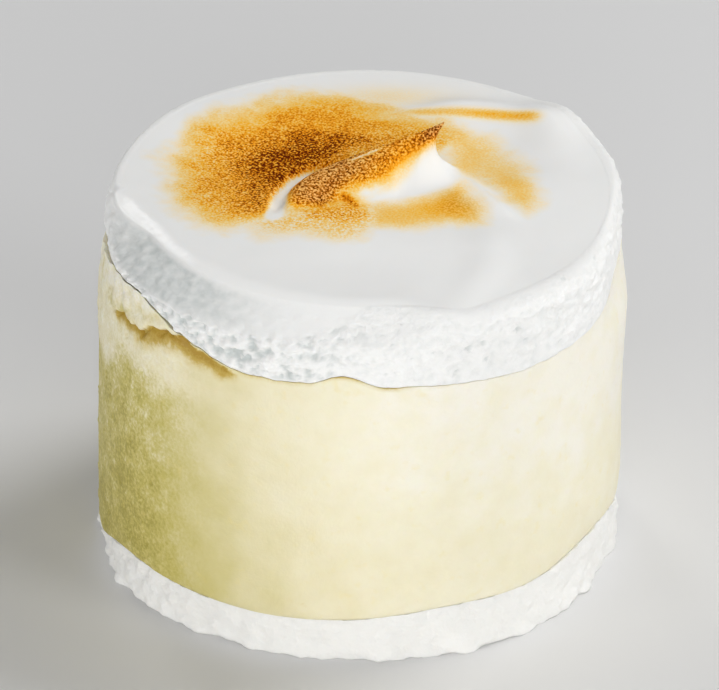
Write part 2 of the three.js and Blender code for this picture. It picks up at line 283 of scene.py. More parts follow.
def mousseRadius(angle, z):
    foot = mousse["foot"] * np.exp((spongeEdge(angle) - z) / mousse["footHeight"])
    bulge = waves(angle, mousse["bulge"]) * bell(z - mousse["bulgeAt"][0], mousse["bulgeAt"][1])
    tuck = waves(angle, mousse["tuck"]) * (1 - smooth(z, *mousse["tuckFade"]))
    taper = waves(angle, mousse["leftTaper"]) * smooth(z, *mousse["leftTaperAt"])
    taper += waves(angle, mousse["rightTaper"]) * smooth(z, *mousse["rightTaperAt"])
    return stack["ring"] - foot + bulge - tuck - taper


def meringueFoot(angle):  # flush with the mousse, further in at the back
    inset = meringue["inset"] * spell(angle, meringue["insetStarts"], meringue["insetEnds"])
    return mousseRadius(angle, meringueEdge(angle)) - inset


def makeMousse():
    piece = spinTin("lemonMousse", mousse["rows"], mousse["steps"])
    angle, reach, height, floor, wall, lid = tinParts(piece)
    low = spongeEdge(angle) + stack["gap"]
    high = meringueEdge(angle) - stack["gap"]
    z = mix(low, high - mousse["rimRound"], height)
    points = around(angle, stack["ring"] + 0 * z, z)
    radius = mousseRadius(angle, z)
    radius += mousse["uneven"] * grain(points, mousse["unevenSize"], wall, octaves=2)
    radius += mousse["skin"] * grain(points, mousse["skinSize"], wall)

    # crack below the lip, which is clotted and stands a little proud of the wall
    arc = np.radians(angle) * stack["ring"]
    ragged = mousse["crackRagged"] * grain(points, mousse["raggedSize"], wall)
    line = strokeLine([(math.radians(a) * stack["ring"], h) for a, h in mousse["crack"]])
    crack = nearStroke(line, arc, z + ragged)
    above = (z + ragged > np.interp(arc, line[:, 0], line[:, 1])) & wall
    ends = spell(crack.along, mousse["crackStarts"], mousse["crackEnds"])
    flap = mousse["flap"] * bell(crack.far, mousse["flapWidth"]) * above * ends
    radius += wall * (flap - mousse["crackDepth"] * bell(crack.far, mousse["crackWidth"]) * ends)
    coarse = spell(angle, mousse["coarseStarts"], mousse["coarseEnds"])
    clots = lumps(points, mousse["clotSize"], wall) - mousse["clotMiddle"]
    radius += mousse["clots"] * coarse * clots * smooth(z, *mousse["clotsFrom"])

    # bubbles and pits below the clots
    bare = coarse * (1 - smooth(z, *mousse["clotsFrom"]))
    froth = grain(points, mousse["bubbleSize"], wall, octaves=2)
    bubbles = bare * smooth(froth, *mousse["bubbleFrom"])
    pits = bare * smooth(-froth, *mousse["pitFrom"])
    radius += mousse["bubble"] * bubbles - mousse["pit"] * pits

    lidRadius = meringueFoot(angle)
    radius = np.where(lid, reach * lidRadius, np.where(floor, reach * radius, radius))
    z = np.where(floor, jointHeight(low, stack["sponge"] + stack["gap"], radius, mousse["footReach"]), z)
    z = np.where(lid, jointHeight(high, stack["mousse"] - stack["gap"], radius, lidRadius), z)
    press(piece, around(angle, radius, z))

    # what shows in the colour: the left side's own deeper yellow with painted shade, as it faces away from
    # the light, paler near the top
    cloud = grain(points, mousse["cloudSize"], wall)
    paleLine = mousse["paleFrom"] + mousse["paleCloud"] * cloud
    paleLine -= mousse["paleDrop"] * (1 - smooth(angle, *mousse["paleDropEnds"]))
    pale = smooth(z, paleLine - mousse["paleBelow"], paleLine + mousse["paleAbove"])
    pale *= 1 - smooth(angle, *mousse["paleEnds"])
    calm = 1 - mousse["paleCalm"] * pale  # the pale stretch is smoother
    # painted shade on the left side, away from the light, over its own deeper yellow
    shade = waves(angle, mousse["shadedSide"])
    shade *= 1 - mousse["sideFade"] * (1 - smooth(angle, *mousse["sideFadeEnds"]))
    shade *= 1 - mix(*mousse["paleShare"], smooth(z, *mousse["paleShareFrom"])) * pale
    shade += mousse["lowShade"] * (1 - smooth(z, *mousse["lowShadeEnds"]))
    shade += mousse["blotch"] * bare * calm * grain(points, mousse["blotchSize"], wall)
    # painted shade in the pits and painted highlight on the bubbles
    shade += mousse["pitShade"] * (pits - bubbles)
    # painted shade in the gaps between the clots and on the flap just above the crack
    clotted = mousse["clotShade"] * smooth(-clots, *mousse["clotGaps"])
    clotted += mousse["flapShade"] * bell(crack.far, mousse["flapShadeWidth"]) * above
    shade += coarse * smooth(z, *mousse["clotShadeFrom"]) * clotted

    # juice below the crack, along the meringue's edge and in a few drips
    pool = mousse["juiceReach"] + waves(angle, mousse["juicePool"])
    weep = np.where(above, bell(crack.far, mousse["juiceSeep"]), np.clip(1 - crack.far / pool, 0, 1))
    weep *= spell(crack.along, mousse["juiceStarts"], mousse["juiceEnds"])
    weep *= mousse["juice"] + mousse["juiceCloud"] * cloud + mousse["juiceRagged"] * ragged
    seam = (mousse["seam"] + mousse["seamCloud"] * cloud) * bell(high - z, mousse["seamWidth"])
    weep = np.maximum(weep, seam * spell(angle, mousse["seamStarts"], mousse["seamEnds"]))
    patchy = smooth(cloud + mousse["dripRagged"] * ragged, *mousse["dripFrom"])
    for strength, middle, spread, dripHeight, tall in mousse["drips"]:
        drip = bell(angle - middle, spread) * bell(z - dripHeight, tall)
        weep = np.maximum(weep, strength * drip * patchy)
    paint(piece, shade=shade, weep=weep * wall, coarse=coarse * calm * wall)
    return piece


# meringue cap

meringue = dict(
    rows=(6, 48, 120), steps=540, wallCrowd=1.6, lidCrowd=1.2,      # rows crowd at the rim and the tip
    tiltFront=0.02, tiltBack=0.006,
    lobes=((1.3, 26, 18.5, 4.5, 5), (0.5, -23, 20, 7, 8),           # soft rises at the back
           (-1.0, 29, -17, 11, 13), (-0.5, 20, -30, 8, 8),          # sinks towards the rim at the right
           (-1.3, 13, -31, 4.5, 6.5)),                              # a ramp where the knife came off
    hollowPower=3, uneven=0.1, unevenSize=11, unevenEnds=(0.9, 1),
    inset=0.5, insetStarts=(45, 75), insetEnds=(186, 206),
    belly=((0.4, 180, 14),), bellyAt=(0.45, 0.3),
    rim=32.3, shoulder=3.4,                                         # how the wall turns into the top
    corner=2.2, cornerStarts=(284, 296), cornerEnds=(345, 358),     # a tighter turn at the right
    bevel=2.5, bevelStarts=(180, 204), bevelEnds=(276, 294),        # cut back at the left and the front
    kneeHeight=47.4, kneeLimits=(0.05, 0.9), kneeRound=0.02,        # where the bevel begins
    roll=0.45, rollWidth=2.3, rollStarts=(180, 188), rollEnds=(276, 294),   # its upper edge is rolled
    rollWrinkle=0.16, rollWrinkleSize=0.8,
    glossEnds=(212, 226), glossFrom=(0.05, 0.4), glossWall=0.95,    # and glossy at the left
    notch=((1.0, 179.5, 1.8),),                                     # a nick in the rim
    # painted shade on the bevel's facet, which faces away from the light, mottled
    facetShade=0.62, facetMottle=0.4, facetBelow=0.05, facetAbove=0.1,
    facetTop=(0.9, 1.0), facetEnds=(222, 258),
    cleft=((1.3, 206, 4.5),), cleftAt=(46.6, 1.3),                  # torn deeper here
    cleftGaps=(-0.1, 0.4), cleftStarts=(0, 0.1),
    foam=0.95, foamSize=1.9, foamMiddle=0.5, fineFoam=0.4, fineShare=0.3,
    bits=0.5, bitSize=0.7, fuzz=0.5, fuzzSize=1.0,
    foamStarts=(0, 0.04), foamFade=0.06, foamWander=0.08, foamWanderSize=4,
    foamClimbs=(252, 276), foamSinks=(150, 172), foamTop=1.05,      # up to the rim at the right
    edgeFoam=0.97, edgeFoamFrom=(281, 293), backEnds=180,
    spared=0.8, sparedStarts=(166, 178), sparedEnds=(202, 214),     # the bevel's left end is cut clean
    # painted shade in the gaps of the foam and in its pits
    plainFoam=0.3, gapShade=(-0.1, 0.5), fineGaps=0.2,
    pit=0.35, pitSize=1.3, pitFrom=(0.6, 0.85), pitShade=0.6,
    wrinkle=0.3, wrinkleSize=1.6, wrinkleStarts=(0.1, 0.3), wrinkleEnds=(0.85, 0.97),
)
curl = dict(
    line=strokeLine([(-8.6, -5.5), (-8.1, -1.2), (-5.6, 2.0), (-1.2, 3.9), (3.6, 4.6), (7.2, 4.6)]),
    tip=(7.2, 4.6), peak=7.5, lean=(3.7, -0.4), leanPower=2.4,
    nose=0.7, noseStarts=(0, 0.12), hook=1.4, ridgePower=1.4, hookPower=12,     # heights along its ridge
    crest=0.35, front=(2.6, 9.0), frontGrows=(0, 0.55), frontLoss=2.5, frontLossFrom=(0.7, 1),
    back=(1.3, 4.2), thinPower=2.4, frontThins=(0.55, 1), backThins=(0.2, 0.8),
)
hollows = dict(
    dish=(-11, 8.5, 13, 10.5, 1.2),  # middle x and y, reach x and y, depth
    right=(18, 8.5, 7.5, 5.5, 0.6),
    front=(2, -22, 11, 7, 0.5),
)
strokes = dict(  # the knife's: width to the left and right, and the shares where each comes and goes
    gutter=dict(
        height=-1.1, width=(0.9, 0.9), starts=(0, 0.25), ends=(0.75, 1),
        line=strokeLine([(-11.3, -7.2), (-10.8, -3), (-10.3, 0.8), (-8.9, 4.6), (-6, 7.4), (0, 9)])),
    crease=dict(
        height=0.55, width=(1.1, 1.1), starts=(-1, 0), ends=(0.6, 1),   # full from its first point
        line=strokeLine([(11.5, 5), (15, 0), (18.2, -4.9), (21.5, -8)])),
    swell=dict(
        height=0.6, width=(2.8, 2.8), starts=(0, 0.3), ends=(1, 2),     # full to its last point
        line=strokeLine([(14, -9), (16, -14), (16.2, -20), (13.9, -26), (10, -33)])),
    backRidge=dict(
        height=1.0, width=(2.2, 4.2), starts=(0, 0.3), ends=(0.6, 1),
        line=strokeLine([(2, 18.5), (9, 21.2), (15, 21.7), (20.5, 20), (25, 16.5), (28.5, 10), (30.5, 4)])),
)


def bevelShare(angle):
    return spell(angle, meringue["bevelStarts"], meringue["bevelEnds"])


def rimRadius(angle):
    return meringue["rim"] - meringue["bevel"] * bevelShare(angle) - waves(angle, meringue["notch"])


def curlHeight(x, y):  # a ridge that grows to the tip, full in front and thin near the tip
    ridge = nearStroke(curl["line"], x, y)
    inFront = ridge.side < 0
    slope = curl["peak"] - curl["nose"] - curl["hook"]
    crest = curl["nose"] * smooth(ridge.along, *curl["noseStarts"])
    crest += slope * ridge.along ** curl["ridgePower"]
    crest += curl["hook"] * ridge.along ** curl["hookPower"]
    front = mix(*curl["front"], smooth(ridge.along, *curl["frontGrows"]))
    front -= curl["frontLoss"] * smooth(ridge.along, *curl["frontLossFrom"])
    back = mix(*curl["back"], ridge.along)
    reach = np.hypot(ridge.far, curl["crest"]) - curl["crest"]
    share = np.minimum(1, reach / np.where(inFront, front, back))
    full = np.cos(share * math.pi / 2) ** 2
    thin = (1 - share) ** curl["thinPower"]
    thinness = np.where(inFront, smooth(ridge.along, *curl["frontThins"]),
                        smooth(ridge.along, *curl["backThins"]))
    return crest * mix(full, thin, thinness)


def rolledEdge(x, y):  # 0 on the flat, 1 at the bevel's upper edge
    x = x - leanAt(stack["top"])
    angle = np.degrees(np.arctan2(y, x)) % 360
    inFromRim = (rimRadius(angle) - np.hypot(x, y)) / meringue["rollWidth"]
    return (1 - np.clip(inFromRim, 0, 1)) * spell(angle, meringue["rollStarts"], meringue["rollEnds"])


def topHeight(x, y):
    z = stack["top"] + meringue["tiltFront"] * np.minimum(y, 0) + meringue["tiltBack"] * np.maximum(y, 0)
    for height, middleX, middleY, spreadX, spreadY in meringue["lobes"]:
        z = z + height * bell(x - middleX, spreadX) * bell(y - middleY, spreadY)
    z -= meringue["roll"] * rolledEdge(x, y) ** 2
    for middleX, middleY, reachX, reachY, depth in hollows.values():
        away = np.hypot((x - middleX) / reachX, (y - middleY) / reachY)
        z = z - depth * np.exp(-away ** meringue["hollowPower"])
    for stroke in strokes.values():
        near = nearStroke(stroke["line"], x, y)
        width = np.where(near.side > 0, *stroke["width"])
        z += stroke["height"] * bell(near.far, width) * spell(near.along, stroke["starts"], stroke["ends"])
    return z


# where the torch went, in plan, and what it missed

torch = dict(
    wander=1.6, wanderSize=6, fray=0.4, fraySize=1.1,       # how ragged the edges are
    mottle=0.22, mottleSize=2.4, plainGrit=0.4, missed=0.95,
    dish=dict(
        toast=0.42, ragged=1.3, fade=(-3.5, 4.5), deeper=0.1, deeperFrom=(2.5, 8),
        grit=(1.1, 0.75), gritFade=(12, 20),                # fewer specks at the back
        edge=strokeLine([(-25, 7), (-24, -3.5), (-19, -10), (-12.5, -9.5), (-8.5, -4), (-6, 3), (0, 6),
                         (7, 8), (12.5, 13), (11.5, 17.8), (5, 20), (3, 22.5), (-3, 26), (-12.4, 24.2),
                         (-21, 17.2)], closed=True)),
    core=dict(
        toast=0.38, ragged=0.6, width=(2.4, 4.8), least=0.55, starts=(0.25, 0.5), ends=(0.8, 1.0),
        line=strokeLine([(-13, -6), (-12.9, -1), (-12, 4), (-10.1, 8.5), (-7, 11.5), (-2.5, 13.8)])),
    face=dict(
        toast=0.58, ragged=0.5, fade=(-2.6, 0.2),
        halo=0.25, haloFade=(-5, -1), haloStarts=(1, 4), haloEnds=(8, 10),
        burnt=(0.85, 0.25), burntFrom=(-0.8, 1.4), burntFade=(-3, 3), gritFade=(-3, 0),
        edge=strokeLine([(-8.6, -3.6), (-7, -4.6), (-4.8, -3.9), (-2.8, -2.2), (0, -0.4), (2.2, 1.6),
                         (4, 3.1), (5.4, 3.9), (6.6, 4.3), (7.5, 4.7), (7.2, 5.8), (3.6, 6.2),
                         (-1.2, 5.8), (-6.2, 3.6), (-8.9, -0.4)], closed=True)),
    tip=dict(toast=0.4, reach=(1.1, 1.1)),
    apron=dict(
        toast=0.42, ragged=1, fade=(-2.4, 2.2),
        edge=strokeLine([(-9, -5), (-6, -8.5), (0.5, -9), (1.2, -5), (-2, -2.5), (-5, -3.5)], closed=True)),
    fringe=dict(
        toast=0.24, ragged=1, fade=(-2.5, 3), grit=1.4,
        edge=strokeLine([(-19, -6.5), (-14, -11.5), (-5, -12.5), (1.5, -11.5), (1.5, -5), (-6, -4.5),
                         (-12, -7)], closed=True)),
    band=dict(
        toast=0.31, ragged=0.8, fade=(-2.2, 3.2), deeper=0.14, deeperAt=((11.5, -4), (4.5, 4.5)),
        # the band's burnt spot is painted shade where it turns away from the light, mixed in as char
        burnt=0.2, shadowAt=((13, -4.5), (3, 3)),
        edge=strokeLine([(0.6, -4.8), (1.2, -10.8), (8, -10), (15.6, -9), (14.6, -3), (13.2, 0.8),
                         (10.5, -0.8), (7.5, -2.2), (4, -4)], closed=True)),
    right=dict(
        toast=0.32, ragged=1, fade=(-2.5, 4), paler=0.1, palerAt=((17, 7), (3.5, 3.5)),
        edge=strokeLine([(11.8, 5.5), (14.5, 3), (18, -1), (22, -5.5), (22.8, 2), (21, 8), (17, 13.5),
                         (13, 15.5), (11, 13)], closed=True)),
    spill=dict(
        toast=0.7, width=0.8, ends=(0.4, 1),
        line=strokeLine([(-2.2, -2.8), (-1.2, -4), (-0.4, -5.4), (0.2, -7)])),
    backLine=dict(
        toast=(0.3, 0.42), toastFrom=(0.3, 0.6), width=1.0, starts=(0, 0.2), ends=(0.8, 1.0),
        line=strokeLine([(2, 20.8), (10, 19.9), (16, 19.1), (21, 17.6), (25, 15.6)])),
    faint=dict(toast=0.13, at=((3, 25), (8, 3))),
    flank=dict(                                             # from here on, what stays white
        ragged=0.3, fade=(-0.8, 0.8),
        edge=strokeLine([(5.2, -1), (7, -2.2), (9.5, -1.2), (12, 1), (12.5, 5.5), (9.2, 4.6), (7.6, 3.2),
                         (6.4, 1.2)], closed=True)),
    slot=dict(width=(1.15, 0.3), ragged=0.15, within=0.3, beyond=0.5, ends=(0.72, 0.92)),  # in the gutter
    crestLine=dict(
        white=0.85, width=0.3, starts=(0, 0.2), ends=(0.8, 1.0),
        line=strokeLine([(-2.2, 2.8), (-0.3, 3.3), (2.4, 4.1)])),
    streak=dict(
        white=0.85, width=(0.4, 0.9), starts=(0, 0.3),
        line=strokeLine([(0.4, -3.8), (2.4, -3.2), (4.6, -2.4), (6.5, -1.8)])),
)


def inside(mark, x, y, ragged):  # mm inside a torched patch, less than 0 outside
    edge = nearStroke(mark["edge"], x, y)
    return edge.far * edge.side + mark["ragged"] * ragged


def covered(mark, x, y, ragged):  # 1 well inside a patch, 0 well outside
    return smooth(inside(mark, x, y, ragged), *mark["fade"])


def missedByTorch(x, y, ragged):  # white lines in the browning
    slot, crestLine, streak = torch["slot"], torch["crestLine"], torch["streak"]
    gutter = nearStroke(strokes["gutter"]["line"], x, y)
    width = mix(*slot["width"], gutter.along)
    away = gutter.far + slot["ragged"] * ragged
    inSlot = 1 - smooth(away, width - slot["within"], width + slot["beyond"])
    inSlot *= 1 - smooth(gutter.along, *slot["ends"])
    near = nearStroke(crestLine["line"], x, y)
    onCrest = bell(near.far, crestLine["width"]) * spell(near.along, crestLine["starts"], crestLine["ends"])
    near = nearStroke(streak["line"], x, y)
    onStreak = bell(near.far, mix(*streak["width"], near.along)) * smooth(near.along, *streak["starts"])
    return np.maximum.reduce([inSlot, crestLine["white"] * onCrest, streak["white"] * onStreak])


def torchMarks(x, y, lid):  # how browned, how speckled and how charred, with painted shade on the band counted as char
    plan = np.stack([x, y, 0 * x], -1)
    ragged = torch["wander"] * grain(plan, torch["wanderSize"], lid)
    ragged += torch["fray"] * grain(plan, torch["fraySize"], lid, octaves=2)
    mottle = 1 + torch["mottle"] * grain(plan, torch["mottleSize"], lid)
    apron, fringe, band, right, white = [
        covered(torch[name], x, y, ragged) for name in ("apron", "fringe", "band", "right", "flank")]

    # the dish, deepest along its core
    dishMark, coreMark = torch["dish"], torch["core"]
    inDish = inside(dishMark, x, y, ragged)
    dish = smooth(inDish, *dishMark["fade"])
    near = nearStroke(coreMark["line"], x, y)
    deepest = spell(near.along, coreMark["starts"], coreMark["ends"])
    core = bell(near.far + coreMark["ragged"] * ragged, mix(*coreMark["width"], deepest))
    core *= mix(coreMark["least"], 1, deepest)
    dishToast = dishMark["toast"] + dishMark["deeper"] * smooth(inDish, *dishMark["deeperFrom"])

    # thin marks
    spillMark, lineMark, faint = torch["spill"], torch["backLine"], torch["faint"]
    near = nearStroke(spillMark["line"], x, y)
    spill = spillMark["toast"] * bell(near.far, spillMark["width"])
    spill *= 1 - smooth(near.along, *spillMark["ends"])
    near = nearStroke(lineMark["line"], x, y)
    backLine = bell(near.far, lineMark["width"]) * spell(near.along, lineMark["starts"], lineMark["ends"])
    backLine *= mix(*lineMark["toast"], smooth(near.along, *lineMark["toastFrom"]))

    bandMark, rightMark = torch["band"], torch["right"]
    toast = np.maximum.reduce([
        dish * (dishToast * mottle + coreMark["toast"] * core),
        torch["apron"]["toast"] * apron,
        torch["fringe"]["toast"] * fringe,
        band * (bandMark["toast"] + bandMark["deeper"] * spot(x, y, *bandMark["deeperAt"])),
        right * (rightMark["toast"] - rightMark["paler"] * spot(x, y, *rightMark["palerAt"])),
        spill,
        backLine,
        faint["toast"] * spot(x, y, *faint["at"]),
    ])

    # the curl's face and tip
    faceMark = torch["face"]
    face = inside(faceMark, x, y, ragged)
    tip = spot(x, y, curl["tip"], torch["tip"]["reach"])
    halo = smooth(face, *faceMark["haloFade"]) * spell(x, faceMark["haloStarts"], faceMark["haloEnds"])
    glow = faceMark["toast"] * smooth(face, *faceMark["fade"]) + faceMark["halo"] * halo
    toast = np.maximum(toast, np.minimum(glow, faceMark["toast"])) * (1 - white)
    toast += torch["tip"]["toast"] * tip
    burnt = mix(*faceMark["burnt"], smooth(x, *faceMark["burntFade"]))
    burnt *= smooth(face, *faceMark["burntFrom"])
    # painted shade where the band turns away from the light, mixed in as char
    bandShadow = bandMark["burnt"] * spot(x, y, *bandMark["shadowAt"]) * band
    char = np.maximum.reduce([burnt, bandShadow, tip])
    grit = np.maximum.reduce([
        mix(*dishMark["grit"], smooth(y, *dishMark["gritFade"])) * dish,
        smooth(face, *faceMark["gritFade"]),
        apron,
        torch["fringe"]["grit"] * fringe,
        torch["plainGrit"] + 0 * x,
    ])
    missed = missedByTorch(x, y, ragged)
    return toast * (1 - torch["missed"] * missed), grit, char * (1 - missed)


def makeMeringue():
    piece = spinTin("meringueCap", meringue["rows"], meringue["steps"])
    angle, reach, height, floor, wall, lid = tinParts(piece)
    foot, rim, edge = meringueFoot(angle), rimRadius(angle), meringueEdge(angle)
    rimPoint = around(angle, rim, stack["top"] + 0 * rim)
    rimZ = topHeight(rimPoint[:, 0], rimPoint[:, 1])

    # wall: stands up from the foot and rounds over into the rim, or leans back from a knee at the bevel
    share = 1 - (1 - height) ** meringue["wallCrowd"]
    z = mix(edge, rimZ, share)
    rounded = (1 - share ** meringue["shoulder"]) ** (1 / meringue["shoulder"])
    corner = np.sqrt(1 - np.clip(1 - (rimZ - z) / meringue["corner"], 0, 1) ** 2)
    rounded = mix(rounded, corner, spell(angle, meringue["cornerStarts"], meringue["cornerEnds"]))
    knee = np.clip((meringue["kneeHeight"] - edge) / (rimZ - edge), *meringue["kneeLimits"])
    past = (share - knee) / (1 - knee)
    slant = 1 - 0.5 * (past + np.sqrt(past ** 2 + meringue["kneeRound"] * (1 - share)))
    radius = mix(rim, foot, mix(rounded, slant, bevelShare(angle)))
    radius += waves(angle, meringue["belly"]) * bell(share - meringue["bellyAt"][0], meringue["bellyAt"][1])
    points = around(angle, radius, z)

    # foam: coarse below the bevel, finer where it climbs to the rim at the right and the back
    climb = np.maximum(smooth(angle, *meringue["foamClimbs"]), 1 - smooth(angle, *meringue["foamSinks"]))
    atEdge = np.maximum(smooth(angle, *meringue["edgeFoamFrom"]), angle < meringue["backEnds"])
    foamTop = mix(knee, mix(meringue["foamTop"], meringue["edgeFoam"], atEdge), climb)
    foamTop += meringue["foamWander"] * grain(points, meringue["foamWanderSize"], wall)
    foamy = smooth(share, *meringue["foamStarts"]) * wall
    foamy *= 1 - smooth(share, foamTop - meringue["foamFade"], foamTop + meringue["foamFade"])
    foamy *= 1 - meringue["spared"] * spell(angle, meringue["sparedStarts"], meringue["sparedEnds"])
    foam = lumps(points, meringue["foamSize"], wall) - meringue["foamMiddle"]
    foam *= mix(1, meringue["fineShare"], climb)
    foam += meringue["bits"] * (lumps(points, meringue["bitSize"], wall) - meringue["foamMiddle"])
    foam += meringue["fuzz"] * grain(points, meringue["fuzzSize"], wall)
    pits = smooth(grain(points, meringue["pitSize"], wall, octaves=2), *meringue["pitFrom"])
    pits *= climb * foamy
    wrinkles = grain(points, meringue["wrinkleSize"], wall)
    wrinkles *= spell(share, meringue["wrinkleStarts"], meringue["wrinkleEnds"])
    torn = waves(angle, meringue["cleft"]) * bell(z - meringue["cleftAt"][0], meringue["cleftAt"][1])
    torn *= smooth(-foam, *meringue["cleftGaps"]) * smooth(share, *meringue["cleftStarts"])
    rough = mix(meringue["foam"], meringue["fineFoam"], climb) * foamy * foam
    rough += meringue["wrinkle"] * wrinkles - meringue["pit"] * pits - torn
    points = around(angle, radius + rough, z)

    # lid: rows run from the rim to the tip of the curl, which leans to the right
    plan = mix(np.array(curl["tip"]), rimPoint[:, :2], (reach ** meringue["lidCrowd"])[:, None])
    x, y = plan[:, 0], plan[:, 1]
    rise = curlHeight(x, y)
    pull = (rise / curl["peak"]) ** curl["leanPower"]
    flat = np.stack([x, y, 0 * x], -1)
    uneven = meringue["uneven"] * grain(flat, meringue["unevenSize"], lid)
    uneven *= 1 - smooth(reach, *meringue["unevenEnds"])
    glossy = rolledEdge(x, y) * (1 - smooth(angle, *meringue["glossEnds"]))
    wrinkled = meringue["rollWrinkle"] * grain(flat, meringue["rollWrinkleSize"], lid, octaves=2) * glossy
    lidPoints = np.stack([x + curl["lean"][0] * pull, y + curl["lean"][1] * pull,
                          topHeight(x, y) + rise + uneven + wrinkled], -1)

    # floor: lies on the mousse
    under = jointHeight(edge, stack["mousse"], reach * foot, foot)
    points = np.where(lid[:, None], lidPoints, points)
    points = np.where(floor[:, None], around(angle, reach * foot, under), points)
    press(piece, points)

    # what shows in the colour: browning, and painted shade in the gaps of the foam, its pits and on the
    # grey facet of the bevel, which faces away from the light
    toast, grit, char = torchMarks(x, y, lid)
    shadeInGaps = smooth(-foam, *meringue["gapShade"]) * foamy * mix(1, meringue["fineGaps"], climb)
    facetFrom = (knee - meringue["facetBelow"], knee + meringue["facetAbove"])
    facet = bevelShare(angle) * spell(share, facetFrom, meringue["facetTop"]) * wall
    facet *= 1 - smooth(angle, *meringue["facetEnds"])
    facet *= meringue["facetShade"] + meringue["facetMottle"] * grain(points, meringue["fuzzSize"], wall)
    # painted shade: foam gaps, pits and the bevel's facet, greyed in by the material
    cleft = np.maximum.reduce([shadeInGaps, meringue["pitShade"] * pits, facet])
    gloss = smooth(glossy, *meringue["glossFrom"]) * (lid | wall & (share > meringue["glossWall"]))
    paint(piece, toast=toast * lid, grit=grit * lid, char=char * lid,
          foam=mix(meringue["plainFoam"] * wall, 1, foamy), cleft=cleft, gloss=gloss)
    return piece


# materials

colourA, colourB, mixed = 6, 7, 2  # where a Mix node set to colours takes them and gives the result


def linear(code):  # sRGB hex to the linear colour that the shaders want
    parts = [int(code[i:i + 2], 16) / 255 for i in (0, 2, 4)]
    return [c / 12.92 if c <= 0.04045 else ((c + 0.055) / 1.055) ** 2.4 for c in parts] + [1]


def addNode(tree, kind, settings, links):
    node = tree.nodes.new("ShaderNode" + kind)
    for name, value in settings.items():
        if name == "stops":  # places and colours of a ramp
            node.color_ramp.elements.remove(node.color_ramp.elements[1])
            for i, (place, colour) in enumerate(value):
                stop = node.color_ramp.elements[0] if i == 0 else node.color_ramp.elements.new(place)
                stop.position, stop.color = place, linear(colour)
        elif isinstance(name, int) or name in node.inputs:
            node.inputs[name].default_value = value
        else:
            setattr(node, name, value)
    for name, source in links.items():
        tree.links.new(source, node.inputs[name])
    return node


def startMaterial(name):
    material = bpy.data.materials.new(name)
    material.use_nodes = True
    material.node_tree.nodes.clear()
    return material, material.node_tree


def inMillimetres(tree):  # object coordinates, counted in mm, so a scale is one over a real size
    coords = addNode(tree, "TexCoord", {}, {})
    scaled = addNode(tree, "Mapping", {"Scale": (1 / mm, 1 / mm, 1 / mm)},
                     {"Vector": coords.outputs["Object"]})
    return scaled.outputs["Vector"]


def whiskedMeringue():  # soft Italian meringue: satin white, lets a little light in, browned by a torch, with painted shade greyed into its gaps and facet
    look = dict(speckSize=0.3, foamSize=0.5, swing=0.5, bump=0.35, lightDepth=0.4,
                satin=0.32, foamMatt=0.5, shadeGrey="c9cecc")
    browning = ((0.0, "f6f6f4"), (0.1, "fdedcf"), (0.2, "ffdd98"), (0.3, "ffcd6c"), (0.42, "ffbc38"),
                (0.54, "f79e18"), (0.7, "d67c0a"), (0.82, "a25004"), (1.0, "662200"))
    burning = ((0.1, "ffc878"), (0.5, "cc802c"), (0.85, "7c3c02"), (1.0, "4a1c00"))
    material, tree = startMaterial("whiskedMeringue")
    place = inMillimetres(tree)
    toast, grit, char, foam, cleft, gloss = [
        addNode(tree, "Attribute", {"attribute_name": mask}, {}).outputs["Fac"]
        for mask in ("toast", "grit", "char", "foam", "cleft", "gloss")]
    speck = addNode(tree, "TexNoise", {"Scale": 1 / look["speckSize"], "Detail": 2.0}, {"Vector": place})
    swing = addNode(tree, "MapRange", {"From Min": 0.34, "From Max": 0.66, "To Min": -look["swing"],
                                       "To Max": look["swing"]}, {"Value": speck.outputs["Fac"]})
    gain = addNode(tree, "Math", {"operation": "MULTIPLY_ADD", 2: 1.0}, {0: swing.outputs[0], 1: grit})
    brown = addNode(tree, "Math", {"operation": "MULTIPLY"}, {0: toast, 1: gain.outputs[0]})
    gold = addNode(tree, "ValToRGB", {"stops": browning}, {"Fac": brown.outputs[0]})
    fleck = addNode(tree, "MapRange", {"From Min": 0.36, "From Max": 0.64}, {"Value": speck.outputs["Fac"]})
    burnt = addNode(tree, "ValToRGB", {"stops": burning}, {"Fac": fleck.outputs[0]})
    colour = addNode(tree, "Mix", {"data_type": "RGBA"},
                     {0: char, colourA: gold.outputs["Color"], colourB: burnt.outputs["Color"]})
    # painted shade: grey mixed in where the foam gaps, its pits and the bevel's facet are shaded
    shaded = addNode(tree, "Mix", {"data_type": "RGBA", colourB: linear(look["shadeGrey"])},
                     {0: cleft, colourA: colour.outputs[mixed]})
    bubbles = addNode(tree, "TexNoise", {"Scale": 1 / look["foamSize"], "Detail": 4.0}, {"Vector": place})
    rough = addNode(tree, "Math", {"operation": "MAXIMUM"}, {0: toast, 1: foam})
    relief = addNode(tree, "Math", {"operation": "MULTIPLY"},
                     {0: bubbles.outputs["Fac"], 1: rough.outputs[0]})
    bump = addNode(tree, "Bump", {"Strength": 0.5, "Distance": look["bump"] * mm},
                   {"Height": relief.outputs[0]})
    satin = addNode(tree, "Math", {"operation": "MULTIPLY_ADD", 1: look["foamMatt"], 2: look["satin"]},
                    {0: rough.outputs[0]})
    shader = addNode(tree, "BsdfPrincipled", {
        "IOR": 1.45, "Specular IOR Level": 0.03, "Coat Roughness": 0.34, "Subsurface Weight": 0.2,
        "Subsurface Radius": (1.0, 0.9, 0.8), "Subsurface Scale": look["lightDepth"] * mm},
        {"Base Color": shaded.outputs[mixed], "Roughness": satin.outputs[0], "Coat Weight": gloss,
         "Normal": bump.outputs["Normal"]})
    addNode(tree, "OutputMaterial", {}, {"Surface": shader.outputs["BSDF"]})
    return material


